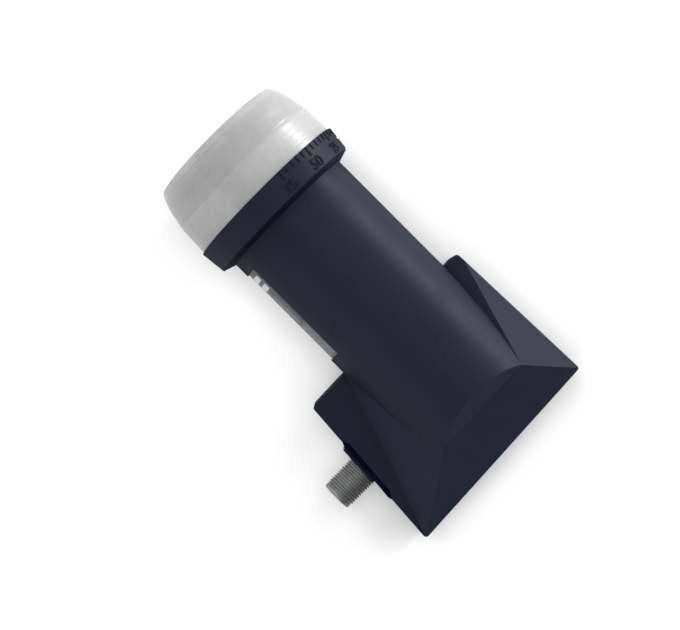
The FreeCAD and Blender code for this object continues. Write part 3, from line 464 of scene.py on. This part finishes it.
# label: plain fields of two tones
def label_patch(verts, faces, x0, x1, a0, a1, h=0.03):
    """A thin field on the label between two places along and two angles round the neck."""
    n = max(2, int(abs(a1 - a0) / 3.0))
    base = len(verts)
    for hh in (-0.05, h):
        for x in (x0, x1):
            for i in range(n + 1):
                a = math.radians(a0 + (a1 - a0) * i / n)
                r = 19.45 + hh
                verts.append((x, -r * math.sin(a), r * math.cos(a)))
    q = n + 1
    for i in range(n):
        faces.append((base + i, base + i + 1, base + q + i + 1, base + q + i))
        faces.append((base + 2 * q + i, base + 3 * q + i, base + 3 * q + i + 1, base + 2 * q + i + 1))
        faces.append((base + i, base + 2 * q + i, base + 2 * q + i + 1, base + i + 1))
        faces.append((base + q + i, base + q + i + 1, base + 3 * q + i + 1, base + 3 * q + i))
    faces.append((base, base + q, base + 3 * q, base + 2 * q))
    faces.append((base + n, base + 2 * q + n, base + 3 * q + n, base + q + n))


verts, faces = [], []
label_patch(verts, faces, -14.5, -12.6, 67.0, 84.0)
label_patch(verts, faces, -11.4, -9.5, 67.0, 84.0)
label_patch(verts, faces, -14.5, -9.5, 90.0, 92.5)
label_patch(verts, faces, -14.5, -9.5, 96.0, 98.5)
label_patch(verts, faces, -14.5, -9.5, 102.0, 116.0)
add("label_pale_fields", verts, faces, "label_pale", sharp=30.0)
verts, faces = [], []
label_patch(verts, faces, -7.0, 2.8, 70.0, 90.0)
label_patch(verts, faces, -7.0, 2.8, 94.0, 114.0)
label_patch(verts, faces, 3.6, 15.0, 63.5, 90.0)
label_patch(verts, faces, 3.6, 15.0, 94.0, 114.0)
add("label_mid_fields", verts, faces, "label_mid", sharp=30.0)


# shell screws with a cross recess
def screw(verts, faces, x, y, z_head, z_under, z_tip):
    """A pan head screw that points up, its head at z_head, with a cross cut in the head."""
    n = 48
    base = len(verts)
    arm, reach, deep = 0.32, 1.25, 1.0
    prof = [(z_head + 0.02, 1.62), (z_head + 0.12, 1.95), (z_head + 0.5, 2.2), (z_under, 2.2), (z_under, 1.05), (z_tip - 0.6, 1.05), (z_tip, 0.5)]
    for z, r in prof:
        for i in range(n):
            a = 2 * math.pi * i / n
            verts.append((x + r * math.cos(a), y + r * math.sin(a), z))
    for k in range(len(prof) - 1):
        for i in range(n):
            j = (i + 1) % n
            faces.append((base + k * n + i, base + k * n + j, base + (k + 1) * n + j, base + (k + 1) * n + i))
    tip = base + (len(prof) - 1) * n
    faces.append(tuple(tip + i for i in range(n)))
    # the head's face, with the cross let into it
    outline = []
    for q in range(4):
        a = math.pi / 2 * q
        for u, v in ((reach, -arm), (reach, arm), (arm, arm)):
            outline.append((u * math.cos(a) - v * math.sin(a), u * math.sin(a) + v * math.cos(a)))
    c0 = len(verts)
    for u, v in outline:
        verts.append((x + u, y + v, z_head))
    c1 = len(verts)
    for u, v in outline:
        s = 0.62
        verts.append((x + u * s, y + v * s, z_head + deep))
    k = len(outline)
    for i in range(k):
        j = (i + 1) % k
        faces.append((c0 + i, c0 + j, c1 + j, c1 + i))
    faces.append(tuple(c1 + i for i in range(k)))
    # the ring of the face between the cross and the rim, corner by corner
    ang = [math.atan2(v, u) % (2 * math.pi) for u, v in outline]
    order = sorted(range(k), key=lambda i: ang[i])
    near = [min(range(n), key=lambda t: abs((2 * math.pi * t / n - ang[i] + math.pi) % (2 * math.pi) - math.pi)) for i in order]
    for q in range(k):
        i, j = order[q], order[(q + 1) % k]
        t0, t1 = near[q], near[(q + 1) % k]
        run = [t0]
        while run[-1] % n != t1 % n:
            run.append((run[-1] + 1) % n)
        faces.append(tuple([c0 + i] + [base + t for t in run] + [c0 + j]))


lo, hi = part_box("shell_screws")
places = ((27.6, -28.6), (26.2, 20.6), (63.2, -30.2), (61.6, 21.4))
verts, faces = [], []
for x, y in places:
    screw(verts, faces, x, y, lo.z / MM, -20.5, hi.z / MM)
add("shell_screws_detail", verts, faces, "steel", "shell_screws", 30.0)

# -------------------------------------------------------------------- light
scene.view_settings.view_transform = "Standard"
scene.view_settings.look = "None"
scene.view_settings.exposure = 0.0
scene.view_settings.gamma = 1.0
world = bpy.data.worlds.new("studio")
scene.world = world
world.use_nodes = True
bg = world.node_tree.nodes["Background"]
bg.inputs["Color"].default_value = (1.0, 1.0, 1.0, 1.0)
seen = world.node_tree.nodes.new("ShaderNodeLightPath")
world.node_tree.links.new(seen.outputs["Is Camera Ray"], bg.inputs["Strength"])


def softbox(name, azimuth, elevation, size, power):
    """A soft light 1.2 m from the part, aimed at it. Azimuth 0 is +X, 90 is +Y."""
    d = bpy.data.lights.new(name, "AREA")
    d.shape = "RECTANGLE"
    d.size, d.size_y = size
    d.energy = power
    o = bpy.data.objects.new(name, d)
    scene.collection.objects.link(o)
    e, a = math.radians(elevation), math.radians(azimuth)
    place = Vector((math.cos(e) * math.cos(a), math.cos(e) * math.sin(a), math.sin(e))) * 1.2
    o.location = place
    o.rotation_euler = (-place).to_track_quat("-Z", "Y").to_euler()
    o.visible_camera = False
    return o


# long low strips, the strongest on the side away from the connector, where
# they draw the sheen along the neck
softbox("strip_side", 90.0, 5.0, (0.5, 0.12), 18.0)
softbox("strip_side_rear", 60.0, 5.0, (0.5, 0.12), 8.0)
softbox("strip_front", 150.0, 5.0, (0.5, 0.12), 5.0)
softbox("strip_front_left", 210.0, 5.0, (0.5, 0.12), 4.8)
softbox("strip_left", 270.0, 5.0, (0.5, 0.12), 1.8)
# broad boxes from half way up
softbox("box_front", 180.0, 35.0, (0.5, 0.5), 4.4)
softbox("box_left", 270.0, 35.0, (0.5, 0.5), 4.9)
softbox("box_side", 90.0, 60.0, (0.6, 0.6), 2.8)
softbox("box_side_low", 90.0, 33.0, (0.5, 0.4), 1.6)
# an overhead bank, which keeps the floor white
softbox("bank_rear", 0.0, 75.0, (0.6, 0.6), 1.9)
softbox("bank_front", 180.0, 75.0, (0.6, 0.6), 3.7)
softbox("bank_left", 270.0, 72.0, (0.6, 0.6), 1.5)
softbox("bank_top", 0.0, 90.0, (0.6, 0.6), 1.9)
